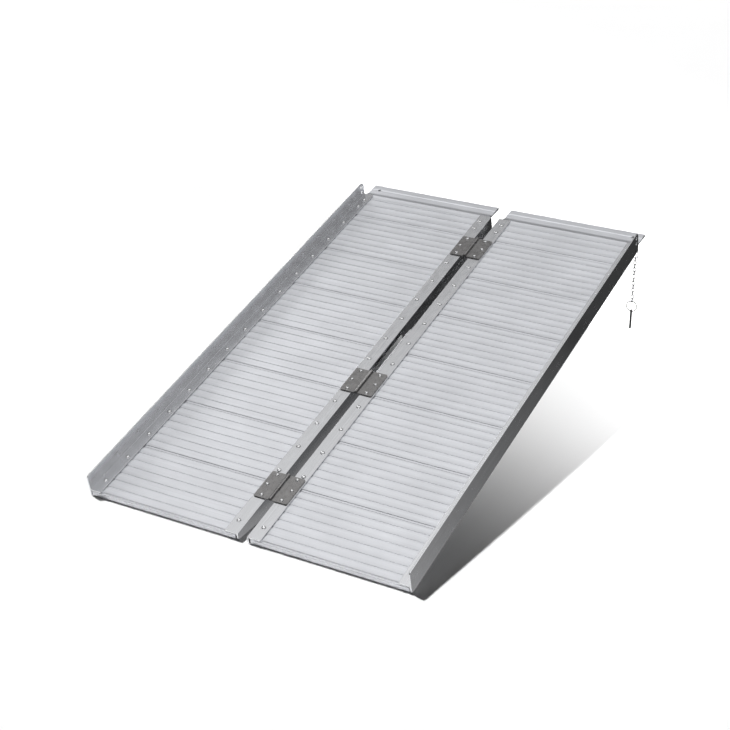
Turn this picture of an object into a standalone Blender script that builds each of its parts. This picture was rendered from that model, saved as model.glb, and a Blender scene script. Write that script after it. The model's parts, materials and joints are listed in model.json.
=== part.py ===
"""Folding wheelchair ramp: two aluminium panels joined by three butt hinges.

Ramp frame: +X to the right, +Y up the ramp, +Z out of the deck, with Z = 0 on
the top of the rail flanges. An empty leans that frame back by the working
incline, so that in world space +Z is up and the origin is the middle of the
lips' underside, where the ramp rests on the landing. All lengths are in metres.
"""
from math import atan2, cos, hypot, pi, radians, sin, tan

import bmesh
import bpy
from mathutils import Vector

# Working position
INCLINE = radians(12.0)

# Whole ramp
WIDTH = 0.7112
RAIL_LENGTH = 1.158
HINGE_GAP = 0.0204
FIT_GAP = 0.0003

# Rails: one F-shaped section, upright outside and upside down inside. Each rail
# is three flat walls: the web, the flange over the planks and the seat under them.
RAIL_HEIGHT = 0.050
RAIL_WALL = 0.003
FLANGE_THICKNESS = 0.0025
SEAT_DEPTH = 0.017
SIDE_FLANGE = 0.0268
INNER_FLANGE = 0.0294
KERB_HEIGHT = RAIL_HEIGHT - SEAT_DEPTH
TOE_CORNER = 0.0070
TOP_CORNER = 0.0105

# Deck planks
PLANK_COUNT = 7
PLANK_WIDTH = 0.1524
RIBS_PER_PLANK = 7
LIP_RIBS = 4
LIP_RIB_PITCH = 0.0244
PLANK_INNER_X = 0.0168
PLANK_OUTER_X = 0.3512
PLANK_TOP = -FLANGE_THICKNESS - FIT_GAP
PLANK_BOTTOM = -SEAT_DEPTH + FLANGE_THICKNESS + FIT_GAP
GROOVE_HALF = 0.0021
SEAM_HALF = 0.0042
GROOVE_DEPTH = 0.0016
GROOVE_SLANT = 0.0005
SKIN = 0.0020
LEG_HALF = 0.0012
FOOT_HALF = 0.0045
FOOT_THICKNESS = 0.0018

# Landing lip
LIP_END = 1.2145
LIP_ROOT_DROP = 0.0020
LIP_SLOPE_END = 0.1085
LIP_SLOPE_DROP = 0.0048
LIP_TIP_TOP = -0.0090
LIP_TIP_THICKNESS = 0.0034
LIP_ROOT_THICKNESS = 0.0046
LIP_HOLE_X = 0.330
LIP_HOLE_Y = 1.1935
LIP_HOLE_RADIUS = 0.0040
LANDING_Y = 1.190

# Hinges
HINGE_CENTRES = (0.1405, 0.4898, 1.0219)
HINGE_NAMES = ("lower", "middle", "upper")
HINGE_LENGTH = 0.0762
LEAF_REACH = 0.0370
LEAF_THICKNESS = 0.0020
LEAF_CORNER = 0.0030
BARREL_RADIUS = 0.0032
BORE_RADIUS = 0.0019
HINGE_PIN_RADIUS = 0.0016
KNUCKLES = 5
AXIS_Z = FIT_GAP + BARREL_RADIUS

# Hand slots and grip, at the middle of the length
HANDLE_Y = 0.609
GRIP_LENGTH = 0.162
GRIP_REACH = 0.0040
GRIP_LEG = 0.0025
GRIP_STRAP = 0.0090
SLOT_LENGTH = 0.156
SLOT_TOP = -0.0040
SLOT_BOTTOM = -0.0420

# Kerb holes, tether, chain and locking pin on the right-hand side
KERB_HOLE_Y = 1.1467
KERB_HOLE_RADIUS = 0.0042
KERB_HOLE_HEIGHTS = (0.0236, 0.0098)
TETHER_HOLE_Z = -0.0095
TETHER_HOLE_RADIUS = 0.00275
TETHER_FLANGE_RELIEF = 0.035
TETHER_LENGTH = 0.0200
TETHER_WIDTH = 0.0130
TETHER_WIRE = 0.0009
LINK_COUNT = 13
LINK_LENGTH = 0.0120
LINK_WIDTH = 0.0075
LINK_WIRE = 0.00075
LINK_SLACK = 0.0005
RING_RADIUS = 0.0125
RING_WIRE = 0.0010
PIN_RADIUS = 0.0025
PIN_LENGTH = 0.048
PIN_HOLE_RADIUS = 0.0017
PIN_HOLE_INSET = 0.0040

HALF_WIDTH = WIDTH / 2
HALF_GAP = HINGE_GAP / 2
DECK_END = PLANK_COUNT * PLANK_WIDTH
SIDES = {"left": -1, "right": 1}


def clear_scene():
    """Remove every object so that the model starts from an empty scene."""
    for obj in list(bpy.data.objects):
        bpy.data.objects.remove(obj, do_unlink=True)


def make_material(name, colour, roughness, metallic):
    """A Principled material with one colour, roughness and metallic value."""
    material = bpy.data.materials.new(name)
    material.use_nodes = True
    shader = material.node_tree.nodes["Principled BSDF"]
    shader.inputs["Base Color"].default_value = (*colour, 1.0)
    shader.inputs["Roughness"].default_value = roughness
    shader.inputs["Metallic"].default_value = metallic
    return material


def make_empty(name, parent=None, location=(0, 0, 0), lean=0.0):
    """An empty that carries other objects, leaned about X."""
    empty = bpy.data.objects.new(name, None)
    bpy.context.collection.objects.link(empty)
    empty.parent = parent
    empty.location = location
    empty.rotation_euler = (lean, 0.0, 0.0)
    return empty


def place(name, mesh, material, parent, location=(0, 0, 0)):
    """Put a mesh in the scene as a named part under its parent."""
    obj = bpy.data.objects.new(name, mesh)
    bpy.context.collection.objects.link(obj)
    obj.parent = parent
    obj.location = location
    mesh.materials.clear()
    mesh.materials.append(material)
    return obj


def finish_mesh(name, bm, smooth=False):
    """Turn a bmesh into a mesh with outward faces."""
    bmesh.ops.recalc_face_normals(bm, faces=bm.faces)
    mesh = bpy.data.meshes.new(name)
    bm.to_mesh(mesh)
    bm.free()
    if smooth:
        mesh.shade_smooth()
        mesh.set_sharp_from_angle(angle=radians(40))
    return mesh


def prism_point(axis, along, a, b):
    """A point from a distance along an axis and an outline's two coordinates."""
    if axis == "X":
        return Vector((along, a, b))
    if axis == "Y":
        return Vector((a, along, b))
    return Vector((a, b, along))


def add_prism(bm, outline, axis, start, end):
    """Add an outline swept straight from start to end along an axis."""
    ring = [bm.verts.new(prism_point(axis, start, a, b)) for a, b in outline]
    face = bm.faces.new(ring)
    swept = bmesh.ops.extrude_face_region(bm, geom=[face])["geom"]
    moved = [item for item in swept if isinstance(item, bmesh.types.BMVert)]
    shift = prism_point(axis, end - start, 0.0, 0.0)
    bmesh.ops.translate(bm, verts=moved, vec=shift)


def prism_mesh(name, outline, axis, start, end):
    """A mesh with one straight extrusion."""
    bm = bmesh.new()
    add_prism(bm, outline, axis, start, end)
    return finish_mesh(name, bm)


def circle_outline(radius, count, a=0.0, b=0.0):
    """Points round a circle in an outline's plane."""
    angles = [2 * pi * (step + 0.5) / count for step in range(count)]
    return [(a + radius * cos(t), b + radius * sin(t)) for t in angles]


def stadium_outline(half_length, radius, arc_steps, a=0.0, b=0.0):
    """A slot outline with round ends: long along a, and 2 * radius high."""
    points = []
    straight = half_length - radius
    for end, turn in ((1, -pi / 2), (-1, pi / 2)):
        for step in range(arc_steps + 1):
            t = turn + pi * step / arc_steps
            points.append((a + end * straight + radius * cos(t), b + radius * sin(t)))
    return points


def make_cutter(name, mesh, parent):
    """A hidden object that other parts' Boolean modifiers use."""
    cutter = bpy.data.objects.new(name, mesh)
    bpy.context.collection.objects.link(cutter)
    cutter.parent = parent
    cutter.hide_render = True
    cutter.display_type = "WIRE"
    return cutter


def add_boolean(obj, other, operation):
    """Cut or join another object into this one."""
    modifier = obj.modifiers.new(other.name, "BOOLEAN")
    modifier.operation = operation
    modifier.solver = "EXACT"
    modifier.object = other


def closed_wire(bm, path, plane_normal, radius, sides):
    """Add round wire swept along a closed flat path."""
    count = len(path)
    rings = []
    for index, point in enumerate(path):
        ahead = path[(index + 1) % count] - path[index - 1]
        outward = ahead.normalized().cross(plane_normal)
        ring = []
        for side in range(sides):
            t = 2 * pi * side / sides
            offset = outward * cos(t) + plane_normal * sin(t)
            ring.append(bm.verts.new(point + offset * radius))
        rings.append(ring)
    for index in range(count):
        here = rings[index]
        there = rings[(index + 1) % count]
        for side in range(sides):
            after = (side + 1) % sides
            bm.faces.new((here[side], here[after], there[after], there[side]))


def wire_link_mesh(name, length, width, wire, arc_steps, sides):
    """An oval link of round wire that hangs along Z in the XZ plane."""
    outline = stadium_outline(length / 2 - wire, width / 2 - wire, arc_steps)
    bm = bmesh.new()
    path = [Vector((b, 0.0, a)) for a, b in outline]
    closed_wire(bm, path, Vector((0, 1, 0)), wire, sides)
    return finish_mesh(name, bm, smooth=True)


# Deck ---------------------------------------------------------------------

def rib_outline(count, pitch):
    """The tops of the ribs from left to right, between the plank's seams."""
    floor = PLANK_TOP - GROOVE_DEPTH
    points = []
    for rib in range(count):
        start = rib * pitch + (GROOVE_HALF if rib else SEAM_HALF)
        end = (rib + 1) * pitch - (GROOVE_HALF if rib < count - 1 else SEAM_HALF)
        points.append((start - GROOVE_SLANT, floor))
        points.append((start, PLANK_TOP))
        points.append((end, PLANK_TOP))
        points.append((end + GROOVE_SLANT, floor))
    return points


def underside_outline(legs, skin_bottom):
    """T-shaped legs under the skin, listed from right to left."""
    points = []
    for centre, left_foot, right_foot in legs:
        foot_top = PLANK_BOTTOM + FOOT_THICKNESS
        points.append((centre + LEG_HALF, skin_bottom))
        if right_foot:
            points.append((centre + LEG_HALF, foot_top))
            points.append((centre + FOOT_HALF, foot_top))
            points.append((centre + FOOT_HALF, PLANK_BOTTOM))
        else:
            points.append((centre + LEG_HALF, PLANK_BOTTOM))
        if left_foot:
            points.append((centre - FOOT_HALF, PLANK_BOTTOM))
            points.append((centre - FOOT_HALF, foot_top))
            points.append((centre - LEG_HALF, foot_top))
        else:
            points.append((centre - LEG_HALF, PLANK_BOTTOM))
        points.append((centre - LEG_HALF, skin_bottom))
    return points


def plank_mesh():
    """One deck plank: seven ribs on a skin with four legs, swept along X."""
    edge = FIT_GAP / 2
    floor = PLANK_TOP - GROOVE_DEPTH
    skin_bottom = floor - SKIN
    top = rib_outline(RIBS_PER_PLANK, PLANK_WIDTH / RIBS_PER_PLANK)
    top = [(edge, floor)] + top + [(PLANK_WIDTH - edge, floor)]
    third = PLANK_WIDTH / 3
    legs = [
        (PLANK_WIDTH - edge - LEG_HALF, True, False),
        (2 * third, True, True),
        (third, True, True),
        (edge + LEG_HALF, False, True),
    ]
    bottom = underside_outline(legs, skin_bottom)[1:-1]
    return prism_mesh("plank", top + bottom, "X", 0.0, PLANK_OUTER_X - PLANK_INNER_X)


def lip_underside(y):
    """Height of the lip's flat underside at a distance from the plank's start."""
    root_y = LIP_RIBS * LIP_RIB_PITCH + GROOVE_HALF
    tip_y = LIP_END - DECK_END
    root_z = PLANK_TOP - LIP_ROOT_DROP - LIP_ROOT_THICKNESS
    tip_z = LIP_TIP_TOP - LIP_TIP_THICKNESS
    return root_z + (tip_z - root_z) * (y - root_y) / (tip_y - root_y)


def lip_plank_mesh():
    """The last plank: four wider ribs, then the lip that slopes to the landing."""
    edge = FIT_GAP / 2
    floor = PLANK_TOP - GROOVE_DEPTH
    skin_bottom = floor - SKIN
    ribs_end = LIP_RIBS * LIP_RIB_PITCH
    root_y = ribs_end + GROOVE_HALF
    tip_y = LIP_END - DECK_END
    tip_round = LIP_TIP_THICKNESS * 0.4
    ribs = rib_outline(LIP_RIBS, LIP_RIB_PITCH)[:-2]
    top = [(edge, floor)] + ribs + [(ribs_end - GROOVE_HALF, PLANK_TOP)]
    lip = [
        (LIP_SLOPE_END, PLANK_TOP - LIP_SLOPE_DROP),
        (tip_y - tip_round, LIP_TIP_TOP),
        (tip_y, LIP_TIP_TOP - tip_round),
        (tip_y, lip_underside(tip_y)),
        (root_y, lip_underside(root_y)),
    ]
    legs = [
        (ribs_end - 2 * LEG_HALF, True, False),
        (ribs_end / 2, True, True),
        (edge + LEG_HALF, False, True),
    ]
    bottom = underside_outline(legs, skin_bottom)[1:-1]
    bottom.insert(0, (ribs_end - LEG_HALF, lip_underside(root_y)))
    outline = top + lip + bottom
    return prism_mesh("lip_plank", outline, "X", 0.0, PLANK_OUTER_X - PLANK_INNER_X)


def build_deck(side, parent, origin, aluminium):
    """Seven ribbed planks and the lip plank of one half."""
    sign = SIDES[side]
    inner_x = PLANK_INNER_X if sign > 0 else -PLANK_OUTER_X
    plank = plank_mesh()
    for number in range(PLANK_COUNT):
        at = Vector((inner_x, number * PLANK_WIDTH, 0.0)) - origin
        place(f"{side}_deck_plank_{number + 1}", plank, aluminium, parent, at)
    at = Vector((inner_x, DECK_END, 0.0)) - origin
    lip = place(f"{side}_lip_plank", lip_plank_mesh(), aluminium, parent, at)
    hole = circle_outline(LIP_HOLE_RADIUS, 12, sign * LIP_HOLE_X, LIP_HOLE_Y)
    mesh = prism_mesh("lip_hole", hole, "Z", -0.03, 0.01)
    cutter = make_cutter(f"cut_{side}_lip_hole", mesh, parent)
    cutter.location = -origin
    add_boolean(lip, cutter, "DIFFERENCE")


# Rails --------------------------------------------------------------------

def wall_mesh(name, outline, sign, near, far):
    """A flat wall: an outline in the YZ plane, thickened between two distances."""
    ends = sorted((sign * near, sign * far))
    return prism_mesh(name, outline, "X", *ends)


def strip_mesh(name, sign, near, far, bottom, length):
    """A flat strip along the rail, one flange thick."""
    outline = [
        (sign * near, bottom),
        (sign * far, bottom),
        (sign * far, bottom + FLANGE_THICKNESS),
        (sign * near, bottom + FLANGE_THICKNESS),
    ]
    return prism_mesh(name, outline, "Y", 0.0, length)


def corner_arc(y, z, radius, start, steps=5):
    """A rounded corner, a quarter turn clockwise about a centre."""
    angles = [start - pi / 2 * step / steps for step in range(steps + 1)]
    return [(y + radius * cos(t), z + radius * sin(t)) for t in angles]


def kerb_outline():
    """Side view of the kerb wall, with its two upper corners rounded."""
    points = [(0.0, -SEAT_DEPTH)]
    points += corner_arc(TOE_CORNER, KERB_HEIGHT - TOE_CORNER, TOE_CORNER, pi)
    far = RAIL_LENGTH - TOP_CORNER
    points += corner_arc(far, KERB_HEIGHT - TOP_CORNER, TOP_CORNER, pi / 2)
    points.append((RAIL_LENGTH, -SEAT_DEPTH))
    return points


def web_outline():
    """Side view of the inner web, cut at the toe to lie level on the ground."""
    toe_length = (RAIL_HEIGHT - SEAT_DEPTH) / tan(INCLINE)
    return [
        (0.0, 0.0),
        (RAIL_LENGTH, 0.0),
        (RAIL_LENGTH, -RAIL_HEIGHT),
        (toe_length, -RAIL_HEIGHT),
        (0.0, -SEAT_DEPTH),
    ]


def build_side_rail(side, parent, origin, aluminium):
    """Outer rail: the kerb wall with its end holes, the flange and the seat."""
    sign = SIDES[side]
    inner_face = HALF_WIDTH - RAIL_WALL
    mesh = wall_mesh(f"{side}_kerb_wall", kerb_outline(), sign, inner_face, HALF_WIDTH)
    wall = place(f"{side}_kerb_wall", mesh, aluminium, parent, -origin)
    bm = bmesh.new()
    reach = sorted((sign * (inner_face - RAIL_WALL), sign * (HALF_WIDTH + RAIL_WALL)))
    holes = [(z, KERB_HOLE_RADIUS) for z in KERB_HOLE_HEIGHTS]
    holes.append((TETHER_HOLE_Z, TETHER_HOLE_RADIUS))
    for z, radius in holes:
        add_prism(bm, circle_outline(radius, 12, KERB_HOLE_Y, z), "X", *reach)
    cutter = make_cutter(f"cut_{side}_kerb_wall", finish_mesh("holes", bm), parent)
    cutter.location = -origin
    add_boolean(wall, cutter, "DIFFERENCE")

    near = inner_face - FIT_GAP
    far = HALF_WIDTH - SIDE_FLANGE
    name = f"{side}_side_flange"
    mesh = strip_mesh(name, sign, near, far, -FLANGE_THICKNESS, RAIL_LENGTH)
    place(name, mesh, aluminium, parent, -origin)
    name = f"{side}_side_seat"
    length = RAIL_LENGTH - TETHER_FLANGE_RELIEF
    mesh = strip_mesh(name, sign, near, far, -SEAT_DEPTH, length)
    place(name, mesh, aluminium, parent, -origin)


def build_inner_rail(side, parent, origin, aluminium):
    """Inner rail: the web with its hand slot, the flange and the seat."""
    sign = SIDES[side]
    outer_face = HALF_GAP + RAIL_WALL
    mesh = wall_mesh(f"{side}_inner_web", web_outline(), sign, HALF_GAP, outer_face)
    web = place(f"{side}_inner_web", mesh, aluminium, parent, -origin)
    top = SLOT_TOP if sign < 0 else -GRIP_STRAP
    radius = (top - SLOT_BOTTOM) / 2
    slot = stadium_outline(SLOT_LENGTH / 2, radius, 8, HANDLE_Y, top - radius)
    mesh = wall_mesh("slot", slot, sign, HALF_GAP - RAIL_WALL, outer_face + RAIL_WALL)
    cutter = make_cutter(f"cut_{side}_inner_web", mesh, parent)
    cutter.location = -origin
    add_boolean(web, cutter, "DIFFERENCE")

    near = outer_face + FIT_GAP
    far = HALF_GAP + INNER_FLANGE
    name = f"{side}_inner_flange"
    mesh = strip_mesh(name, sign, near, far, -FLANGE_THICKNESS, RAIL_LENGTH)
    place(name, mesh, aluminium, parent, -origin)
    name = f"{side}_inner_seat"
    mesh = strip_mesh(name, sign, near, far, -SEAT_DEPTH, RAIL_LENGTH)
    place(name, mesh, aluminium, parent, -origin)


def build_grip(parent, origin, aluminium):
    """Channel that covers the strap of web above the right-hand slot."""
    outer = HALF_GAP - GRIP_REACH
    face = HALF_GAP - FIT_GAP
    back = HALF_GAP + RAIL_WALL + FIT_GAP
    strap = -GRIP_STRAP - FIT_GAP
    base = strap - GRIP_LEG + FIT_GAP
    outline = [
        (outer, -FIT_GAP),
        (face, -FIT_GAP),
        (face, strap),
        (back, strap),
        (back, -FLANGE_THICKNESS - FIT_GAP),
        (back + GRIP_LEG, -FLANGE_THICKNESS - FIT_GAP),
        (back + GRIP_LEG, base),
        (outer + LEG_HALF, base),
        (outer, base + LEG_HALF),
    ]
    radius = (-GRIP_STRAP - SLOT_BOTTOM) / 2
    flat = SLOT_LENGTH / 2 - radius
    bm = bmesh.new()
    add_prism(bm, outline, "Y", HANDLE_Y - flat, HANDLE_Y + flat)
    grip = place("handle_grip", finish_mesh("handle_grip", bm), aluminium, parent, -origin)
    nose = [
        (outer, -FIT_GAP),
        (face, -FIT_GAP),
        (face, base),
        (outer + LEG_HALF, base),
        (outer, base + LEG_HALF),
    ]
    half = GRIP_LENGTH / 2
    ends = prism_mesh("grip_front", nose, "Y", HANDLE_Y - half, HANDLE_Y + half)
    front = make_cutter("join_grip_front", ends, parent)
    front.location = -origin
    add_boolean(grip, front, "UNION")


# Hinges -------------------------------------------------------------------

def knuckle_spans(sign):
    """Stretches along the hinge that carry this leaf's knuckles."""
    pitch = HINGE_LENGTH / KNUCKLES
    first = 0 if sign > 0 else 1
    spans = []
    for index in range(first, KNUCKLES, 2):
        start = index * pitch - HINGE_LENGTH / 2
        spans.append((start + FIT_GAP / 2, start + pitch - FIT_GAP / 2))
    return spans


def leaf_outline(sign):
    """Plan of a leaf: a plate with cut corners and one tab for each knuckle."""
    half = HINGE_LENGTH / 2 - FIT_GAP / 2
    inner = BARREL_RADIUS + 2 * FIT_GAP
    points = [
        (inner, half),
        (LEAF_REACH - LEAF_CORNER, half),
        (LEAF_REACH, half - LEAF_CORNER),
        (LEAF_REACH, LEAF_CORNER - half),
        (LEAF_REACH - LEAF_CORNER, -half),
        (inner, -half),
    ]
    for start, end in knuckle_spans(sign):
        points += [(inner, start), (0.0, start), (0.0, end), (inner, end)]
    cleaned = [p for i, p in enumerate(points) if p != points[i - 1]]
    if cleaned[0] == cleaned[-1]:
        cleaned.pop()
    return [(sign * x, y) for x, y in without_repeats(cleaned)]


def without_repeats(points):
    """Drop points that double back onto a point already in the outline."""
    kept = []
    for point in points:
        if all(hypot(point[0] - q[0], point[1] - q[1]) > FIT_GAP / 4 for q in kept):
            kept.append(point)
    return kept


def leaf_mesh(sign, parent):
    """A hinge leaf with its knuckles joined on and bored for the pin."""
    bottom = FIT_GAP - AXIS_Z
    plan = leaf_outline(sign)
    mesh = prism_mesh("leaf", plan, "Z", bottom, bottom + LEAF_THICKNESS)
    leaf = make_cutter("leaf_blank", mesh, parent)
    bm = bmesh.new()
    for start, end in knuckle_spans(sign):
        add_prism(bm, circle_outline(BARREL_RADIUS, 16), "Y", start, end)
    barrel = make_cutter("knuckle_blank", finish_mesh("knuckles", bm), parent)
    bore = circle_outline(BORE_RADIUS, 12)
    mesh = prism_mesh("bore", bore, "Y", -HINGE_LENGTH, HINGE_LENGTH)
    bore = make_cutter("bore_blank", mesh, parent)
    add_boolean(leaf, barrel, "UNION")
    add_boolean(leaf, bore, "DIFFERENCE")
    depsgraph = bpy.context.evaluated_depsgraph_get()
    result = bpy.data.meshes.new_from_object(leaf.evaluated_get(depsgraph))
    for blank in (leaf, barrel, bore):
        bpy.data.objects.remove(blank, do_unlink=True)
    result.shade_smooth()
    result.set_sharp_from_angle(angle=radians(40))
    return result


def build_hinges(parents, origins, steel):
    """Three butt hinges: two leaves and a pin each."""
    leaves = {side: leaf_mesh(sign, None) for side, sign in SIDES.items()}
    half = HINGE_LENGTH / 2 - FIT_GAP
    pin = prism_mesh("hinge_pin", circle_outline(HINGE_PIN_RADIUS, 12), "Y", -half, half)
    for name, centre in zip(HINGE_NAMES, HINGE_CENTRES):
        at = Vector((0.0, centre, AXIS_Z))
        for side in SIDES:
            node = f"{side}_hinge_leaf_{name}"
            place(node, leaves[side], steel, parents[side], at - origins[side])
        place(f"hinge_pin_{name}", pin, steel, parents["right"], at - origins["right"])


# Tether, chain and locking pin --------------------------------------------

def build_tether(ramp, steel):
    """The link through the kerb, the chain, its ring and the locking pin."""
    wall_x = HALF_WIDTH - RAIL_WALL / 2
    hole = Vector((wall_x, KERB_HOLE_Y, TETHER_HOLE_Z))
    hook = make_empty("tether_pivot", ramp, hole, -INCLINE)
    half = TETHER_LENGTH / 2 - TETHER_WIRE
    link = wire_link_mesh("tether_link", TETHER_LENGTH, TETHER_WIDTH, TETHER_WIRE, 8, 6)
    place("tether_link", link, steel, hook, (0.0, 0.0, -half))

    chain_drop = Vector((0.0, 0.0, -2 * half))
    chain_pivot = make_empty("chain_pivot", hook, chain_drop)
    link_half = LINK_LENGTH / 2 - LINK_WIRE
    pitch = 2 * link_half - 2 * LINK_WIRE - LINK_SLACK
    first = TETHER_WIRE + LINK_WIRE + LINK_SLACK - link_half
    link = wire_link_mesh("chain_link", LINK_LENGTH, LINK_WIDTH, LINK_WIRE, 5, 5)
    for index in range(LINK_COUNT):
        at = (0.0, 0.0, first - index * pitch)
        obj = place(f"chain_link_{index + 1:02d}", link, steel, chain_pivot, at)
        obj.rotation_euler.z = pi / 2 if index % 2 == 0 else 0.0

    last_wire = first - (LINK_COUNT - 1) * pitch - link_half
    ring_pivot = make_empty("ring_pivot", chain_pivot, (0.0, 0.0, last_wire))
    ring_top = LINK_WIRE + RING_WIRE + LINK_SLACK
    centre = Vector((0.0, 0.0, ring_top - RING_RADIUS))
    outline = circle_outline(RING_RADIUS, 24)
    path = [Vector((x, 0.0, z)) + centre for x, z in outline]
    bm = bmesh.new()
    closed_wire(bm, path, Vector((0, 1, 0)), RING_WIRE, 6)
    place("pin_ring", finish_mesh("pin_ring", bm, smooth=True), steel, ring_pivot)

    ring_bottom = Vector((0.0, 0.0, ring_top - 2 * RING_RADIUS))
    pin_pivot = make_empty("pin_pivot", ring_pivot, ring_bottom)
    build_locking_pin(pin_pivot, steel)


def build_locking_pin(parent, steel):
    """A round pin with a chamfered tip and a cross hole for its ring."""
    chamfer = 0.0008
    top = PIN_HOLE_INSET
    tip = top - PIN_LENGTH
    count = 16
    profile = [
        (PIN_RADIUS - chamfer, tip),
        (PIN_RADIUS, tip + chamfer),
        (PIN_RADIUS, top - chamfer),
        (PIN_RADIUS - chamfer, top),
    ]
    bm = bmesh.new()
    rings = []
    for radius, z in profile:
        ring = [bm.verts.new((x, y, z)) for x, y in circle_outline(radius, count)]
        rings.append(ring)
    bm.faces.new(reversed(rings[0]))
    bm.faces.new(rings[-1])
    for lower, upper in zip(rings, rings[1:]):
        for step in range(count):
            after = (step + 1) % count
            bm.faces.new((lower[step], lower[after], upper[after], upper[step]))
    pin = place("locking_pin", finish_mesh("locking_pin", bm, smooth=True), steel, parent)
    cross = circle_outline(PIN_HOLE_RADIUS, 12)
    mesh = prism_mesh("pin_cross_hole", cross, "X", -2 * PIN_RADIUS, 2 * PIN_RADIUS)
    add_boolean(pin, make_cutter("cut_pin_cross_hole", mesh, parent), "DIFFERENCE")


def main():
    """Build the whole ramp."""
    clear_scene()
    aluminium = make_material("mill_aluminium", (0.78, 0.79, 0.80), 0.42, 1.0)
    rail_metal = make_material("rail_aluminium", (0.68, 0.69, 0.70), 0.38, 1.0)
    steel = make_material("hinge_steel", (0.40, 0.39, 0.37), 0.35, 1.0)
    bright = make_material("zinc_steel", (0.62, 0.61, 0.60), 0.30, 1.0)

    landing = Vector((0.0, LANDING_Y, lip_underside(LANDING_Y - DECK_END)))
    reach = hypot(landing.y, landing.z)
    angle = atan2(landing.z, landing.y) + INCLINE
    offset = Vector((0.0, -reach * cos(angle), -reach * sin(angle)))
    ramp = make_empty("ramp_frame", None, offset, INCLINE)
    fold_at = Vector((0.0, HINGE_CENTRES[0], AXIS_Z))
    fold = make_empty("fold_axis", ramp, fold_at)
    parents = {"left": fold, "right": ramp}
    origins = {"left": fold_at, "right": Vector((0.0, 0.0, 0.0))}

    for side in SIDES:
        build_deck(side, parents[side], origins[side], aluminium)
        build_side_rail(side, parents[side], origins[side], rail_metal)
        build_inner_rail(side, parents[side], origins[side], rail_metal)
    build_grip(parents["right"], origins["right"], rail_metal)
    build_hinges(parents, origins, steel)
    build_tether(ramp, bright)


main()
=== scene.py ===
"""Looks of the folding wheelchair ramp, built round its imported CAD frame.

Ramp frame: +X to the right, +Y up the ramp, +Z out of the deck, with Z = 0 on
the top of the rail flanges. Pieces are drawn in that frame and then moved to
the world by RAMP, which comes from the fold hinge. Lengths are in metres.
"""
import json
from math import atan2, cos, pi, radians, sin, sqrt, tan

import bmesh
import bpy
from mathutils import Matrix, Vector


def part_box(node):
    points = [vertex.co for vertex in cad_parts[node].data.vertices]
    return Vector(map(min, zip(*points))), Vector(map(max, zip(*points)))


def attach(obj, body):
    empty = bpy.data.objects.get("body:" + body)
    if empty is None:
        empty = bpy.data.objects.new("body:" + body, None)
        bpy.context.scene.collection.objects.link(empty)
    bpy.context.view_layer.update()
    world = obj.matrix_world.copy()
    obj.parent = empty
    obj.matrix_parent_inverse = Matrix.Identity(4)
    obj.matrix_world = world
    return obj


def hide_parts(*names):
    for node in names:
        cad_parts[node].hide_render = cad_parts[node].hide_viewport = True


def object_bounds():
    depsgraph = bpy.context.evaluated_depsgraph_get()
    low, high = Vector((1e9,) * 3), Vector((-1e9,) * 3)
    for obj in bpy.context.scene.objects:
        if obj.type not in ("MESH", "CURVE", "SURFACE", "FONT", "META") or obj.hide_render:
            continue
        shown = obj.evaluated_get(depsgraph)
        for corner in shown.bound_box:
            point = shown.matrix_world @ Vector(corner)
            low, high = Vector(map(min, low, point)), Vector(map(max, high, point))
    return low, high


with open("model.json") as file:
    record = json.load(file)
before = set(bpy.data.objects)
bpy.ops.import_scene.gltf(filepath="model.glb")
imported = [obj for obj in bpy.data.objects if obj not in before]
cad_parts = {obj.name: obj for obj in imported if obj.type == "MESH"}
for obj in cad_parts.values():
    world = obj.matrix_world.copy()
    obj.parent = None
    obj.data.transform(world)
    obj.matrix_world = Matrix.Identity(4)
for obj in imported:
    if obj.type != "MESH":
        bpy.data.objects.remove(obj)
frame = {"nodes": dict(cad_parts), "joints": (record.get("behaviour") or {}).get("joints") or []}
cad_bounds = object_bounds()

SIDES = {"left": -1, "right": 1}
BODIES = {"left": "left_half", "right": "right_half"}
FIT_GAP = 0.0003
CUT_PAST = 0.01
SHARP_ANGLE = radians(32)

# Rail extrusions
ROOT_FILLET = 0.0008
EDGE_ROUND = 0.0006
TOE_CORNER = 0.0070
TOP_CORNER = 0.0105
KERB_HOLE_RADIUS = 0.0042
KERB_HOLES_BELOW_TOP = (0.0094, 0.0232)
KERB_HOLE_INSET = 0.0113
TETHER_HOLE_BELOW_TOP = 0.0425
TETHER_HOLE_RADIUS = 0.00275
SLOT_LENGTH = 0.156
SLOT_BOTTOM = -0.0420
SLOT_TOPS = {"left": -0.0040, "right": -0.0090}
SLOT_END_SHARE = 0.999
SLOT_CUT_PAST = 0.0005
TOE_CUT_LIFT = 0.0001
TOE_CUT_PAST = 0.02

# Hand grip
GRIP_LEG = 0.0025
GRIP_LEG_TOP = 0.0055
GRIP_TOP_ROUND = 0.0012
GRIP_NOSE_ROUND = 0.0016

# Deck planks
PLANKS = 7
RIBS = 7
LIP_RIBS = 4
LIP_RIB_PITCH = 0.0244
GROOVE_HALF = 0.0026
SEAM_HALF = 0.0052
GROOVE_DEPTH = 0.0010
GROOVE_SLANT = 0.0005
GROOVE_ROUND = 0.0004
SEAM_DEPTH = 0.0014
SEAM_SLANT = 0.0011
LAND_DIP = 0.00022
LAND_STEPS = 6
LAND_MARGIN = 1.5 * GROOVE_ROUND
GROOVE_SHADE_BOTTOM = -0.0048
GROOVE_SHADE_TOP = -0.0041
SKIN = 0.0020
LEG_HALF = 0.0012
FOOT_HALF = 0.0045
FOOT_THICKNESS = 0.0018

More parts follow.
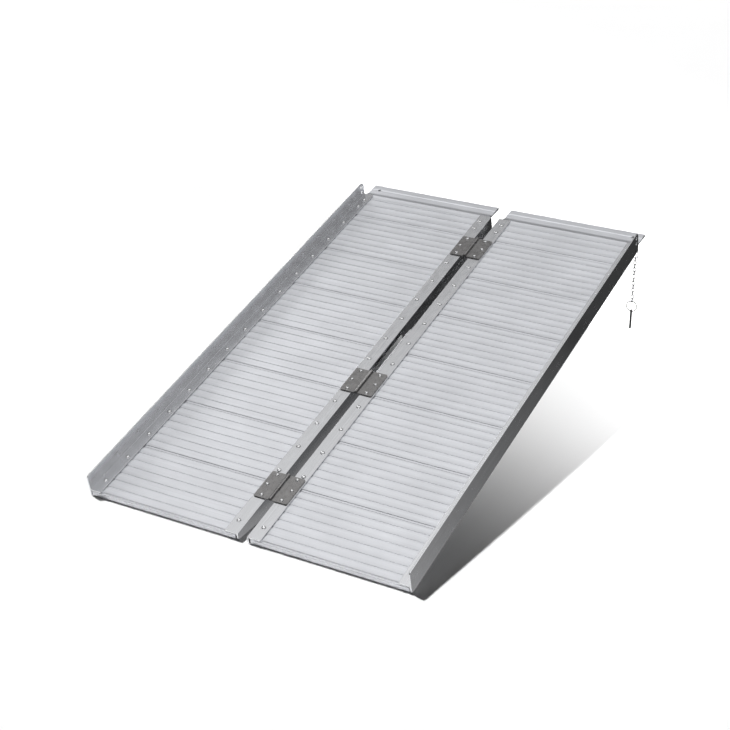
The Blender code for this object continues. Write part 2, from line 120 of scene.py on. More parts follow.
# Landing lip
LIP_ROOT_DROP = 0.0020
LIP_SLOPE_END = 0.1085
LIP_SLOPE_DROP = 0.0047
LIP_BEND_ROUND = 0.0200
LIP_TIP_DROP = 0.0054
LIP_GROOVE = 0.1272
LIP_GROOVE_HALF = 0.0024
LIP_GROOVE_DEPTH = 0.0010
LIP_GROOVE_FALL = 0.0001
LIP_GROOVE_EDGE = 0.0004
LIP_GROOVE_BED = 0.0008
LIP_TIP_ROUND = 0.00108
LIP_ROOT_THICKNESS = 0.0046
LIP_HOLE_X = 0.330
LIP_HOLE_INSET = 0.0210
LIP_HOLE_RADIUS = 0.0040

# Hinges
HINGE_NAMES = ("lower", "middle", "upper")
KNUCKLES = 5
BARREL_RADIUS = 0.0032
BORE_RADIUS = 0.0019
ROLL_TIP = -0.28
ROLL_STEPS = 28
LEAF_START = 1.3 * BARREL_RADIUS
LEAF_THICKNESS = 0.0020
LEAF_CORNER = 0.0030
PIN_DOME_SHARE = 0.35
HINGE_RIVETS = ((0.0226, -0.0305), (0.0277, 0.0), (0.0226, 0.0305))

# Rivets
RIVET_RADIUS = 0.0046
RIVET_HEIGHT = 0.0028
RIVET_PITCH = 0.0762
RIVET_START = 0.0334
RIVET_COUNT = 15
RIVET_LAST = 1.131
SIDE_RIVET_X = 0.3396
INNER_RIVET_X = 0.0278
HINGE_RIVET_RADIUS = 0.0038
RIVET_RIM = 0.0003
RIVET_SHOULDER_SHARE = 0.98
RIVET_DOME_SHARE = 0.97
RIVET_DIMPLE_SHARE = 0.28
RIVET_DIMPLE_FLOOR = 0.8
RIVET_STEPS = 6
RIVET_SIDES = 20

# Tether, chain, ring and pin
TETHER_WIRE = 0.0009
LINK_WIRE = 0.00075
RING_WIRE = 0.0010
PIN_CHAMFER = 0.0008
PIN_HOLE_RADIUS = 0.0017

# Studio
SKY_LEVELS = (
    (0.0, 0.08),
    (0.40, 0.14),
    (0.60, 0.20),
    (0.68, 0.34),
    (0.78, 0.86),
    (0.88, 1.0),
)
SKY_GLOSS = 1.15
AMBIENT = 0.02
KEY_ENERGY = 4.0
KEY_PLACE = (-cos(radians(59.0)), 0.0, sin(radians(59.0)))
KEY_ANGLE = radians(4.0)
FILL_ENERGY = 7180.0
FILL_PLACE = (5.69, -2.95, 1.52)
FILL_TARGET = (0.049, 0.382, -0.25)
FILL_CONE = radians(18.96)
FILL_SIZE = 0.3
BOX_ENERGY = 6.5
BOX_SIZE = 0.6
BOX_PLACE = (-2.1, 1.2, 1.04)
BOX_TARGET = (0.0, -0.6, -0.1)
# A glowing card seen only in the metal, with its glow graded from front to back: painted shade
# in the reflections.
CARD_X = (-0.350, 1.3)
CARD_Y = (-1.16, 3.0)
CARD_HEIGHT = 0.25
CARD_LIFT = 0.002
PAINTED_SHADE_LEVELS = (
    (0.0, 0.34),
    (0.059, 0.22),
    (0.158, 0.11),
    (0.272, 0.015),
    (0.5, 0.003),
)
FLOOR_SIZE = 12.0
FLOOR_GAP = 0.0002

# Camera
CAMERA_PLACE = Vector((1.3865, -3.2175, 1.3700))
CAMERA_TARGET = Vector((-0.0684, -0.5570, -0.1682))
CAMERA_ANGLE = radians(26.31)
CAMERA_ROLL = radians(-0.387)


# Frame -----------------------------------------------------------------------

def ramp_matrix():
    """Ramp frame to world: the fold axis runs along the ramp at X = 0."""
    fold = next(joint for joint in frame["joints"] if joint["name"] == "fold_hinge")
    axis = Vector(fold["axis"])
    incline = atan2(axis.z, axis.y)
    turn = Matrix.Rotation(incline, 4, "X")
    level = turn.inverted()
    web = frame["nodes"]["right_inner_web"].data.vertices
    points = [level @ vertex.co for vertex in web]
    toe = min(point.y for point in points)
    flange_top = max(point.z for point in points)
    return turn @ Matrix.Translation((0.0, toe, flange_top)), incline


RAMP, INCLINE = ramp_matrix()


def ramp_box(node):
    """Lowest and highest corner of a CAD node in the ramp frame."""
    inverse = RAMP.inverted()
    points = [inverse @ vertex.co for vertex in frame["nodes"][node].data.vertices]
    low = Vector([min(point[i] for point in points) for i in range(3)])
    high = Vector([max(point[i] for point in points) for i in range(3)])
    return low, high


def near_far(node, side):
    """A node's smaller and larger distance from the ramp's centre plane."""
    low, high = ramp_box(node)
    return tuple(sorted((SIDES[side] * low.x, SIDES[side] * high.x)))


# Mesh helpers ----------------------------------------------------------------

def rounded_outline(corners, steps=4):
    """Outline from corners (a, b, radius), with each radius drawn as an arc."""
    points = []
    count = len(corners)
    for index, (a, b, radius) in enumerate(corners):
        corner = Vector((a, b))
        if radius == 0:
            points.append(corner)
            continue
        before = (Vector(corners[index - 1][:2]) - corner).normalized()
        after = (Vector(corners[(index + 1) % count][:2]) - corner).normalized()
        half = before.angle(after) / 2
        centre = corner + (before + after).normalized() * radius / sin(half)
        first = corner + before * radius / tan(half) - centre
        last = corner + after * radius / tan(half) - centre
        start = atan2(first.y, first.x)
        sweep = (atan2(last.y, last.x) - start + pi) % (2 * pi) - pi
        for step in range(steps + 1):
            t = start + sweep * step / steps
            points.append(centre + radius * Vector((cos(t), sin(t))))
    return points


def circle_outline(radius, count, a=0.0, b=0.0):
    """Points round a circle."""
    angles = [2 * pi * step / count for step in range(count)]
    return [Vector((a + radius * cos(t), b + radius * sin(t))) for t in angles]


def loft(bm, rings):
    """Join rings of points with the same count, and close both ends."""
    made = [[bm.verts.new(point) for point in ring] for ring in rings]
    for here, there in zip(made, made[1:]):
        for index, vertex in enumerate(here):
            after = (index + 1) % len(here)
            bm.faces.new((vertex, here[after], there[after], there[index]))
    bm.faces.new(made[0])
    bm.faces.new(made[-1])


def prism_ring(axis, along, outline):
    """An outline placed at a distance along an axis."""
    if axis == "X":
        return [Vector((along, a, b)) for a, b in outline]
    if axis == "Y":
        return [Vector((a, along, b)) for a, b in outline]
    return [Vector((a, b, along)) for a, b in outline]


def add_prism(bm, outline, axis, start, end):
    """Add a straight extrusion."""
    loft(bm, [prism_ring(axis, start, outline), prism_ring(axis, end, outline)])


def add_turned(bm, profile, centre, sides):
    """Add a shape turned about Z from (radius, height) pairs, lowest first."""
    rings = []
    for radius, height in profile:
        lifted = centre + Vector((0.0, 0.0, height))
        outline = circle_outline(radius, sides)
        rings.append([lifted + point.to_3d() for point in outline])
    loft(bm, rings)


def add_wire_loop(bm, path, normal, radius, sides):
    """Add round wire along a closed flat path."""
    rings = []
    for index, point in enumerate(path):
        ahead = path[(index + 1) % len(path)] - path[index - 1]
        outward = ahead.normalized().cross(normal)
        angles = [2 * pi * side / sides for side in range(sides)]
        ring = [point + radius * (outward * cos(t) + normal * sin(t)) for t in angles]
        rings.append([bm.verts.new(place) for place in ring])
    for here, there in zip(rings, rings[1:] + rings[:1]):
        for side in range(sides):
            after = (side + 1) % sides
            bm.faces.new((here[side], here[after], there[after], there[side]))


def to_object(name, bm, matrix=RAMP):
    """Turn a bmesh into a smooth-shaded object in the world frame."""
    bmesh.ops.recalc_face_normals(bm, faces=bm.faces)
    mesh = bpy.data.meshes.new(name)
    bm.to_mesh(mesh)
    bm.free()
    mesh.transform(matrix)
    shade(mesh)
    obj = bpy.data.objects.new(name, mesh)
    bpy.context.scene.collection.objects.link(obj)
    return obj


def shade(mesh):
    """Smooth round stretches and keep real corners sharp."""
    mesh.shade_smooth()
    mesh.set_sharp_from_angle(angle=SHARP_ANGLE)


def combine(obj, others, operation):
    """Cut or join other objects into this one, and remove them."""
    for other in others:
        modifier = obj.modifiers.new(other.name, "BOOLEAN")
        modifier.operation = operation
        modifier.solver = "EXACT"
        modifier.object = other
    graph = bpy.context.evaluated_depsgraph_get()
    result = bpy.data.meshes.new_from_object(obj.evaluated_get(graph))
    obj.modifiers.clear()
    old = obj.data
    obj.data = result
    result.name = obj.name
    bpy.data.meshes.remove(old)
    for other in others:
        bpy.data.objects.remove(other, do_unlink=True)
    shade(result)


def even_normals(obj):
    """Keep large flat faces flat beside the small faces of a rounded edge."""
    normals = obj.modifiers.new("even_normals", "WEIGHTED_NORMAL")
    normals.keep_sharp = True


def dress(obj, material, slot, body, *nodes):
    """Give a piece its material, body and the CAD nodes it stands for. The slot argument is not
    used.
    """
    obj.data.materials.clear()
    obj.data.materials.append(material)
    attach(obj, body)
    if nodes:
        even_normals(obj)
        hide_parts(*nodes)


# Materials -------------------------------------------------------------------

class Finish:
    """A bare metal whose patterns are laid out in the ramp frame."""

    def __init__(self, name):
        self.material = bpy.data.materials.new(name)
        self.material.use_nodes = True
        self.tree = self.material.node_tree
        self.shader = self.tree.nodes["Principled BSDF"]
        self.shader.inputs["Metallic"].default_value = 1.0
        coordinates = self.tree.nodes.new("ShaderNodeTexCoord")
        self.place = self.tree.nodes.new("ShaderNodeMapping")
        self.place.vector_type = "TEXTURE"
        self.place.inputs["Location"].default_value = RAMP.to_translation()
        self.place.inputs["Rotation"].default_value = (INCLINE, 0.0, 0.0)
        self.link(coordinates.outputs["Object"], self.place.inputs["Vector"])

    def link(self, source, target):
        """Join two sockets."""
        self.tree.links.new(source, target)

    def noise(self, scale, detail=2.0, roughness=0.5):
        """Noise with a size of its own along each ramp axis."""
        stretch = self.tree.nodes.new("ShaderNodeMapping")
        stretch.inputs["Scale"].default_value = scale
        self.link(self.place.outputs["Vector"], stretch.inputs["Vector"])
        noise = self.tree.nodes.new("ShaderNodeTexNoise")
        noise.inputs["Scale"].default_value = 1.0
        noise.inputs["Detail"].default_value = detail
        noise.inputs["Roughness"].default_value = roughness
        self.link(stretch.outputs["Vector"], noise.inputs["Vector"])
        return noise.outputs["Fac"]

    def ramp(self, value, stops):
        """Colours for a value, from (position, colour) pairs."""
        node = self.tree.nodes.new("ShaderNodeValToRGB")
        elements = node.color_ramp.elements
        while len(elements) < len(stops):
            elements.new(0.5)
        for element, (position, colour) in zip(elements, stops):
            element.position = position
            element.color = (*colour, 1.0)
        self.link(value, node.inputs["Fac"])
        return node.outputs["Color"]

    def span(self, value, low, high, start=0.3, end=0.7):
        """A value moved from start..end to low..high."""
        node = self.tree.nodes.new("ShaderNodeMapRange")
        node.inputs["From Min"].default_value = start
        node.inputs["From Max"].default_value = end
        node.inputs["To Min"].default_value = low
        node.inputs["To Max"].default_value = high
        self.link(value, node.inputs["Value"])
        return node.outputs["Result"]

    def mix(self, first, second, mode):
        """Two colours combined at full strength."""
        node = self.tree.nodes.new("ShaderNodeMix")
        node.data_type = "RGBA"
        node.blend_type = mode
        node.inputs[0].default_value = 1.0
        self.link(first, node.inputs[6])
        self.link(second, node.inputs[7])
        return node.outputs[2]

    def coordinate(self, axis):
        """The ramp frame coordinate along one axis."""
        node = self.tree.nodes.new("ShaderNodeSeparateXYZ")
        self.link(self.place.outputs["Vector"], node.inputs["Vector"])
        return node.outputs[axis]

    def bump(self, value, strength, distance):
        """Relief from a value."""
        node = self.tree.nodes.new("ShaderNodeBump")
        node.inputs["Strength"].default_value = strength
        node.inputs["Distance"].default_value = distance
        self.link(value, node.inputs["Height"])
        self.link(node.outputs["Normal"], self.shader.inputs["Normal"])

    def colour(self, value):
        """Use a colour as the base colour."""
        self.link(value, self.shader.inputs["Base Color"])

    def roughness(self, value):
        """Use a value as the roughness."""
        self.link(value, self.shader.inputs["Roughness"])


def grey(level, warmth=0.0):
    """A near-neutral colour, bluish unless warmed."""
    return (level * (0.995 + warmth), level, level * (1.014 - warmth))


def deck_material():
    """Mill aluminium: drawing lines along the ribs, and painted shade in the grooves and seams
    that stops at the lip.
    """
    finish = Finish("deck_mill_aluminium")
    lines = finish.noise((5.0, 900.0, 900.0), 3.0, 0.6)
    patches = finish.noise((9.0, 14.0, 9.0), 4.0, 0.55)
    bright = finish.ramp(lines, [(0.25, grey(0.82)), (0.75, grey(0.94))])
    dull = finish.ramp(patches, [(0.30, grey(0.90)), (0.72, grey(1.0))])
    colour = finish.mix(bright, dull, "MULTIPLY")
    # Painted shade: the colour darkens the lower a surface lies below the rib tops, in the
    # grooves and seams, and is lifted back to full brightness past the ribs on the lip.
    height = finish.coordinate("Z")
    depth = finish.span(height, 0.74, 1.0, GROOVE_SHADE_BOTTOM, GROOVE_SHADE_TOP)
    grooves = finish.ramp(depth, [(0.0, grey(0.0)), (1.0, grey(1.0))])
    ribs_end = ramp_box("left_lip_plank")[0].y + LIP_RIBS * LIP_RIB_PITCH
    along = finish.coordinate("Y")
    past_ribs = finish.span(along, 0.0, 1.0, ribs_end, ribs_end + 0.001)
    lip = finish.ramp(past_ribs, [(0.0, grey(0.0)), (1.0, grey(1.0))])
    painted_groove_shade = finish.mix(grooves, lip, "LIGHTEN")
    finish.colour(finish.mix(colour, painted_groove_shade, "MULTIPLY"))
    finish.roughness(finish.span(lines, 0.36, 0.50))
    finish.bump(lines, 0.06, 0.0002)
    return finish.material


def rail_material():
    """Extruded aluminium with drawing lines along the rail and light scuffs."""
    finish = Finish("rail_extruded_aluminium")
    lines = finish.noise((900.0, 4.0, 900.0), 3.0, 0.6)
    scuffs = finish.noise((60.0, 35.0, 60.0), 5.0, 0.65)
    base = finish.ramp(lines, [(0.25, grey(0.66)), (0.75, grey(0.80))])
    worn = finish.ramp(scuffs, [(0.35, grey(0.92)), (0.75, grey(1.0))])
    finish.colour(finish.mix(base, worn, "MULTIPLY"))
    finish.roughness(finish.span(scuffs, 0.18, 0.28))
    finish.bump(lines, 0.04, 0.0002)
    return finish.material


def hinge_material():
    """Plain rolled steel, warm grey with a fine grain and dull patches."""
    finish = Finish("hinge_rolled_steel")
    grain = finish.noise((1400.0, 90.0, 1400.0), 3.0, 0.6)
    patches = finish.noise((110.0, 110.0, 110.0), 4.0, 0.6)
    base = finish.ramp(grain, [(0.3, grey(0.25, 0.03)), (0.7, grey(0.35, 0.03))])
    dull = finish.ramp(patches, [(0.35, grey(0.80)), (0.70, grey(1.0))])
    finish.colour(finish.mix(base, dull, "MULTIPLY"))
    finish.roughness(finish.span(patches, 0.22, 0.34))
    finish.bump(grain, 0.05, 0.0001)
    return finish.material


def rivet_material():
    """Bright aluminium rivet heads with handling marks."""
    finish = Finish("rivet_aluminium")
    marks = finish.noise((700.0, 700.0, 700.0), 3.0, 0.6)
    finish.colour(finish.ramp(marks, [(0.3, grey(0.74)), (0.7, grey(0.88))]))
    finish.roughness(finish.span(marks, 0.12, 0.20))
    return finish.material


def plated_material():
    """Zinc-plated steel wire with a faint mottle."""
    finish = Finish("plated_steel_wire")
    mottle = finish.noise((450.0, 450.0, 450.0), 3.0, 0.6)
    finish.colour(finish.ramp(mottle, [(0.3, grey(0.07)), (0.7, grey(0.13))]))
    finish.roughness(finish.span(mottle, 0.26, 0.38))
    return finish.material


# Deck ------------------------------------------------------------------------

def land_points(start, end, top):
    """The top of one rib: rounded edges and a shallow dip between them."""
    points = [(start, top, GROOVE_ROUND)]
    for step in range(LAND_STEPS + 1):
        along = step / LAND_STEPS
        y = start + LAND_MARGIN + (end - start - 2 * LAND_MARGIN) * along
        points.append((y, top - LAND_DIP * sin(pi * along), 0.0))
    points.append((end, top, GROOVE_ROUND))
    return points


def rib_points(count, pitch, top, last_groove=True):
    """Rib tops from left to right with the grooves between them."""
    seam = (SEAM_SLANT, SEAM_DEPTH)
    groove = (GROOVE_SLANT, GROOVE_DEPTH)
    points = []
    for rib in range(count):
        first = rib == 0
        last = rib == count - 1
        start = rib * pitch + (SEAM_HALF if first else GROOVE_HALF)
        at_seam = last and last_groove
        end = (rib + 1) * pitch - (SEAM_HALF if at_seam else GROOVE_HALF)
        slant, fall = seam if first else groove
        points.append((start - slant, top - fall, GROOVE_ROUND))
        points += land_points(start, end, top)
        if not last or last_groove:
            slant, fall = seam if last else groove
            points.append((end + slant, top - fall, GROOVE_ROUND))
    return points


def leg_points(legs, skin_bottom, bottom):
    """T-shaped legs under the skin, listed from right to left."""
    points = []
    foot_top = bottom + FOOT_THICKNESS
    for centre, left_foot, right_foot in legs:
        points.append((centre + LEG_HALF, skin_bottom, ROOT_FILLET))
        if right_foot:
            points.append((centre + LEG_HALF, foot_top, EDGE_ROUND))
            points.append((centre + FOOT_HALF, foot_top, EDGE_ROUND))
            points.append((centre + FOOT_HALF, bottom, EDGE_ROUND))
        else:
            points.append((centre + LEG_HALF, bottom, EDGE_ROUND))
        if left_foot:
            points.append((centre - FOOT_HALF, bottom, EDGE_ROUND))
            points.append((centre - FOOT_HALF, foot_top, EDGE_ROUND))
            points.append((centre - LEG_HALF, foot_top, EDGE_ROUND))
        else:
            points.append((centre - LEG_HALF, bottom, EDGE_ROUND))
        points.append((centre - LEG_HALF, skin_bottom, ROOT_FILLET))
    return points


def add_plank(node, name, side, material):
    """A deck plank with rounded ribs, swept along X."""
    low, high = ramp_box(node)
    length = high.y - low.y
    floor = high.z - SEAM_DEPTH
    skin_bottom = floor - SKIN
    third = length / 3
    legs = [
        (length - LEG_HALF, True, False),
        (2 * third, True, True),
        (third, True, True),
        (LEG_HALF, False, True),
    ]
    top = rib_points(RIBS, length / RIBS, high.z)
    ends = [(length, floor, EDGE_ROUND)]
    under = leg_points(legs, skin_bottom, low.z)[1:-1]
    outline = rounded_outline([(0.0, floor, EDGE_ROUND)] + top + ends + under)
    shifted = [(y + low.y, z) for y, z in outline]
    bm = bmesh.new()
    add_prism(bm, shifted, "X", low.x, high.x)
    dress(to_object(name, bm), material, "deck_aluminium", BODIES[side], node)


def add_lip_plank(side, material):
    """The last plank: four wider ribs, then the lip that slopes to the landing."""
    node = f"{side}_lip_plank"
    low, high = ramp_box(node)
    top = high.z
    base = top - LIP_ROOT_DROP - LIP_ROOT_THICKNESS
    length = high.y - low.y
    floor = top - SEAM_DEPTH
    skin_bottom = floor - SKIN
    plank_bottom = ramp_box(f"{side}_deck_plank_1")[0].z
    ribs_end = LIP_RIBS * LIP_RIB_PITCH
    tip_top = top - LIP_TIP_DROP
    ribs = rib_points(LIP_RIBS, LIP_RIB_PITCH, top, last_groove=False)
    groove = LIP_GROOVE
    flat = top - LIP_SLOPE_DROP
    lip = [
        (LIP_SLOPE_END, flat, LIP_BEND_ROUND),
        (groove - LIP_GROOVE_HALF, flat - LIP_GROOVE_FALL, LIP_GROOVE_EDGE),
        (groove, flat - LIP_GROOVE_DEPTH, LIP_GROOVE_BED),
        (groove + LIP_GROOVE_HALF, flat - 2 * LIP_GROOVE_FALL, LIP_GROOVE_EDGE),
        (length, tip_top, LIP_TIP_ROUND),
        (length, low.z, LIP_TIP_ROUND),
        (ribs_end + GROOVE_HALF, base, ROOT_FILLET),
    ]
    legs = [
        (ribs_end - 2 * LEG_HALF, True, False),
        (ribs_end / 2, True, True),
        (LEG_HALF, False, True),
    ]
    under = [(ribs_end - LEG_HALF, base, 0.0)]
    under += leg_points(legs, skin_bottom, plank_bottom)[1:-1]
    corners = [(0.0, floor, EDGE_ROUND)] + ribs + lip + under
    shifted = [(y + low.y, z) for y, z in rounded_outline(corners)]
    bm = bmesh.new()
    add_prism(bm, shifted, "X", low.x, high.x)
    piece = to_object(f"{side}_landing_lip", bm)
    bm = bmesh.new()
    centre = (SIDES[side] * LIP_HOLE_X, high.y - LIP_HOLE_INSET)
    hole = circle_outline(LIP_HOLE_RADIUS, 32, *centre)
    add_prism(bm, hole, "Z", low.z - CUT_PAST, high.z + CUT_PAST)
    combine(piece, [to_object("lip_hole", bm)], "DIFFERENCE")
    dress(piece, material, "deck_aluminium", BODIES[side], node)


# Rails -----------------------------------------------------------------------

def kerb_stations(length, height):
    """Distances along the kerb with the wall's height at each one."""
    steps = 8
    stations = []
    for step in range(steps + 1):
        t = pi / 2 * step / steps
        drop = TOE_CORNER * (1 - sin(t))
        stations.append((TOE_CORNER * (1 - cos(t)), height - drop))
    for step in range(steps + 1):
        t = pi / 2 * (1 - step / steps)
        drop = TOP_CORNER * (1 - sin(t))
        stations.append((length - TOP_CORNER * (1 - cos(t)), height - drop))
    return stations


def add_side_rail(side, material):
    """Outer rail: one extrusion with kerb wall, flange and seat."""
    sign = SIDES[side]
    inner, outer = near_far(f"{side}_kerb_wall", side)
    edge = near_far(f"{side}_side_flange", side)[0]
    wall_low, wall_high = ramp_box(f"{side}_kerb_wall")
    flange_low, flange_high = ramp_box(f"{side}_side_flange")
    seat_low, seat_high = ramp_box(f"{side}_side_seat")
    rings = []
    for y, top in kerb_stations(wall_high.y, wall_high.z):
        section = [
            (outer, wall_low.z, EDGE_ROUND),
            (outer, top, EDGE_ROUND),
            (inner, top, EDGE_ROUND),
            (inner, flange_high.z, ROOT_FILLET),
            (edge, flange_high.z, EDGE_ROUND),
            (edge, flange_low.z, EDGE_ROUND),
            (inner, flange_low.z, ROOT_FILLET),
            (inner, seat_high.z, ROOT_FILLET),
            (edge, seat_high.z, EDGE_ROUND),
            (edge, seat_low.z, EDGE_ROUND),
        ]
        rings.append([Vector((sign * a, y, b)) for a, b in rounded_outline(section)])
    bm = bmesh.new()
    loft(bm, rings)
    rail = to_object(f"{side}_side_rail", bm)
    bm = bmesh.new()
    reach = sorted((sign * (inner - CUT_PAST), sign * (outer + CUT_PAST)))
    hole_y = wall_high.y - KERB_HOLE_INSET
    for drop in KERB_HOLES_BELOW_TOP:
        hole = circle_outline(KERB_HOLE_RADIUS, 32, hole_y, wall_high.z - drop)
        add_prism(bm, hole, "X", *reach)
    tether = wall_high.z - TETHER_HOLE_BELOW_TOP
    add_prism(bm, circle_outline(TETHER_HOLE_RADIUS, 32, hole_y, tether), "X", *reach)
    holes = to_object("rail_holes", bm)
    bm = bmesh.new()
    relief = [
        (seat_high.y, wall_low.z - CUT_PAST),
        (wall_high.y + CUT_PAST, wall_low.z - CUT_PAST),
        (wall_high.y + CUT_PAST, flange_low.z - ROOT_FILLET),
        (seat_high.y, flange_low.z - ROOT_FILLET),
    ]
    reach = sorted((sign * (edge - CUT_PAST), sign * inner))
    add_prism(bm, relief, "X", *reach)
    combine(rail, [holes, to_object("seat_relief", bm)], "DIFFERENCE")
    nodes = [f"{side}_kerb_wall", f"{side}_side_flange", f"{side}_side_seat"]
    dress(rail, material, "rail_aluminium", BODIES[side], *nodes)


def add_inner_rail(side, material):
    """Inner rail: one extrusion with web, flange and seat, cut at the toe."""
    sign = SIDES[side]
    near, face = near_far(f"{side}_inner_web", side)
    edge = near_far(f"{side}_inner_flange", side)[1]
    web_low, web_high = ramp_box(f"{side}_inner_web")
    flange_low, flange_high = ramp_box(f"{side}_inner_flange")
    seat_low, seat_high = ramp_box(f"{side}_inner_seat")
    section = [
        (near, flange_high.z, EDGE_ROUND),
        (edge, flange_high.z, EDGE_ROUND),
        (edge, flange_low.z, EDGE_ROUND),
        (face, flange_low.z, ROOT_FILLET),
        (face, seat_high.z, ROOT_FILLET),
        (edge, seat_high.z, EDGE_ROUND),
        (edge, seat_low.z, EDGE_ROUND),
        (face, seat_low.z, ROOT_FILLET),
        (face, web_low.z, EDGE_ROUND),
        (near, web_low.z, EDGE_ROUND),
    ]
    outline = [(sign * a, b) for a, b in rounded_outline(section)]
    bm = bmesh.new()
    add_prism(bm, outline, "Y", 0.0, web_high.y)
    rail = to_object(f"{side}_inner_rail", bm)
    reach = sorted((sign * (near - CUT_PAST / 2), sign * (edge + CUT_PAST)))
    bm = bmesh.new()
    drop = web_high.z - seat_low.z - TOE_CUT_LIFT
    toe_length = (web_high.z - web_low.z) / tan(INCLINE)
    toe = [
        (-TOE_CUT_PAST, -drop + TOE_CUT_PAST * tan(INCLINE)),
        (toe_length, -drop - toe_length * tan(INCLINE)),
        (toe_length, -4 * drop),
        (-TOE_CUT_PAST, -4 * drop),
    ]
    add_prism(bm, toe, "X", *reach)
    toe_cut = to_object("toe_cut", bm)
    top = SLOT_TOPS[side]
    grip_low, grip_high = ramp_box("handle_grip")
    middle = (grip_low.y + grip_high.y) / 2
    radius = (top - SLOT_BOTTOM) / 2 * SLOT_END_SHARE
    half = SLOT_LENGTH / 2
    slot = rounded_outline([
        (middle - half, SLOT_BOTTOM, radius),
        (middle + half, SLOT_BOTTOM, radius),
        (middle + half, top, radius),
        (middle - half, top, radius),
    ], 10)
    bm = bmesh.new()
    reach = sorted((sign * (near - CUT_PAST / 2), sign * (face + SLOT_CUT_PAST)))
    add_prism(bm, slot, "X", *reach)
    combine(rail, [toe_cut, to_object("hand_slot", bm)], "DIFFERENCE")
    nodes = [f"{side}_inner_web", f"{side}_inner_flange", f"{side}_inner_seat"]
    dress(rail, material, "rail_aluminium", BODIES[side], *nodes)


# Rivets ----------------------------------------------------------------------

def add_rivet(bm, centre, radius, height):
    """A domed blind rivet head with the dimple of its broken stem."""
    dimple = radius * RIVET_DIMPLE_SHARE
    shoulder = radius * RIVET_SHOULDER_SHARE
    dome = radius * RIVET_DOME_SHARE
    profile = [(shoulder, 0.0), (radius, RIVET_RIM / 2), (shoulder, RIVET_RIM)]
    for step in range(1, RIVET_STEPS + 1):
        t = pi / 2 * step / RIVET_STEPS
        across = dome * cos(t) + dimple * (1 - cos(t))
        profile.append((across, RIVET_RIM + (height - RIVET_RIM) * sin(t)))
    profile.append((dimple * RIVET_DIMPLE_FLOOR, height - RIVET_RIM))
    add_turned(bm, profile, centre, RIVET_SIDES)


def rivet_places():
    """Distances along a flange that carry a rivet."""
    places = [RIVET_START + index * RIVET_PITCH for index in range(RIVET_COUNT)]
    return places + [RIVET_LAST]


def add_flange_rivets(side, material):
    """The rivets through both flanges of one half."""
    covered = [ramp_box(f"{side}_hinge_leaf_{name}") for name in HINGE_NAMES]
    lines = {"side": SIDE_RIVET_X, "inner": INNER_RIVET_X}
    for line, x in lines.items():
        bm = bmesh.new()
        for y in rivet_places():
            hidden = any(low.y < y < high.y for low, high in covered)
            if line == "inner" and hidden:
                continue
            place = Vector((SIDES[side] * x, y, 0.0))
            add_rivet(bm, place, RIVET_RADIUS, RIVET_HEIGHT)
        piece = to_object(f"{side}_{line}_rivets", bm)
        dress(piece, material, "rail_aluminium", BODIES[side])


# Hinges ----------------------------------------------------------------------

def knuckle_outline(sign):
    """Section of a rolled knuckle with the stub of its leaf."""
    stub = 2 * BARREL_RADIUS
    plate_top = LEAF_THICKNESS - BARREL_RADIUS
    points = [(stub, -BARREL_RADIUS)]
    sweep = 1.5 * pi - ROLL_TIP
    for step in range(ROLL_STEPS + 1):
        t = -pi / 2 - sweep * step / ROLL_STEPS
        points.append((BARREL_RADIUS * cos(t), BARREL_RADIUS * sin(t)))
    bore_end = atan2(plate_top, sqrt(BORE_RADIUS**2 - plate_top**2)) + 2 * pi
    for step in range(ROLL_STEPS + 1):
        t = ROLL_TIP + (bore_end - ROLL_TIP) * step / ROLL_STEPS
        points.append((BORE_RADIUS * cos(t), BORE_RADIUS * sin(t)))
    points.append((stub, plate_top))
    return [(sign * a, b) for a, b in points]


def add_hinge(name, steel, rivets):
    """A butt hinge: two rolled leaves, their rivets and the pin."""
    pin_low, pin_high = ramp_box(f"hinge_pin_{name}")
    centre = (pin_low + pin_high) / 2
    for side, sign in SIDES.items():
        node = f"{side}_hinge_leaf_{name}"
        low, high = ramp_box(node)
        reach = near_far(node, side)[1]
        length = high.y - low.y
        half = length / 2
        plan = rounded_outline([
            (sign * LEAF_START, -half, 0.0),
            (sign * reach, -half, LEAF_CORNER),
            (sign * reach, half, LEAF_CORNER),
            (sign * LEAF_START, half, 0.0),
        ], 6)
        place = Matrix.Translation(centre)
        bottom = low.z - centre.z
        bm = bmesh.new()
        add_prism(bm, plan, "Z", bottom, bottom + LEAF_THICKNESS)
        leaf = to_object(f"{side}_leaf_{name}", bm, RAMP @ place)
        bm = bmesh.new()
        pitch = 2 * half / KNUCKLES
        for index in range(0 if sign > 0 else 1, KNUCKLES, 2):
            start = index * pitch - half + FIT_GAP / 2
            end = start + pitch - FIT_GAP
            add_prism(bm, knuckle_outline(sign), "Y", start, end)
        knuckles = to_object("knuckles", bm, RAMP @ place)
        combine(leaf, [knuckles], "UNION")
        dress(leaf, steel, "hinge_steel", BODIES[side], node)
        bm = bmesh.new()
        for x, y in HINGE_RIVETS:
            head = Vector((sign * x, centre.y + y, low.z + LEAF_THICKNESS))
            add_rivet(bm, head, HINGE_RIVET_RADIUS, RIVET_HEIGHT)
        heads = to_object(f"{side}_hinge_rivets_{name}", bm)
        dress(heads, rivets, "hinge_steel", BODIES[side])
    radius = (pin_high.x - pin_low.x) / 2
    bm = bmesh.new()
    half = (pin_high.y - pin_low.y) / 2
    dome = radius * PIN_DOME_SHARE
    profile = [(radius - dome, -half), (radius, dome - half)]
    profile += [(radius, half - dome), (radius - dome, half)]
    add_turned(bm, profile, Vector((0, 0, 0)), 24)
    turn = Matrix.Rotation(-pi / 2, 4, "X")
    pin = to_object(f"pin_{name}", bm, RAMP @ Matrix.Translation(centre) @ turn)
    dress(pin, steel, "hinge_steel", BODIES["right"], f"hinge_pin_{name}")


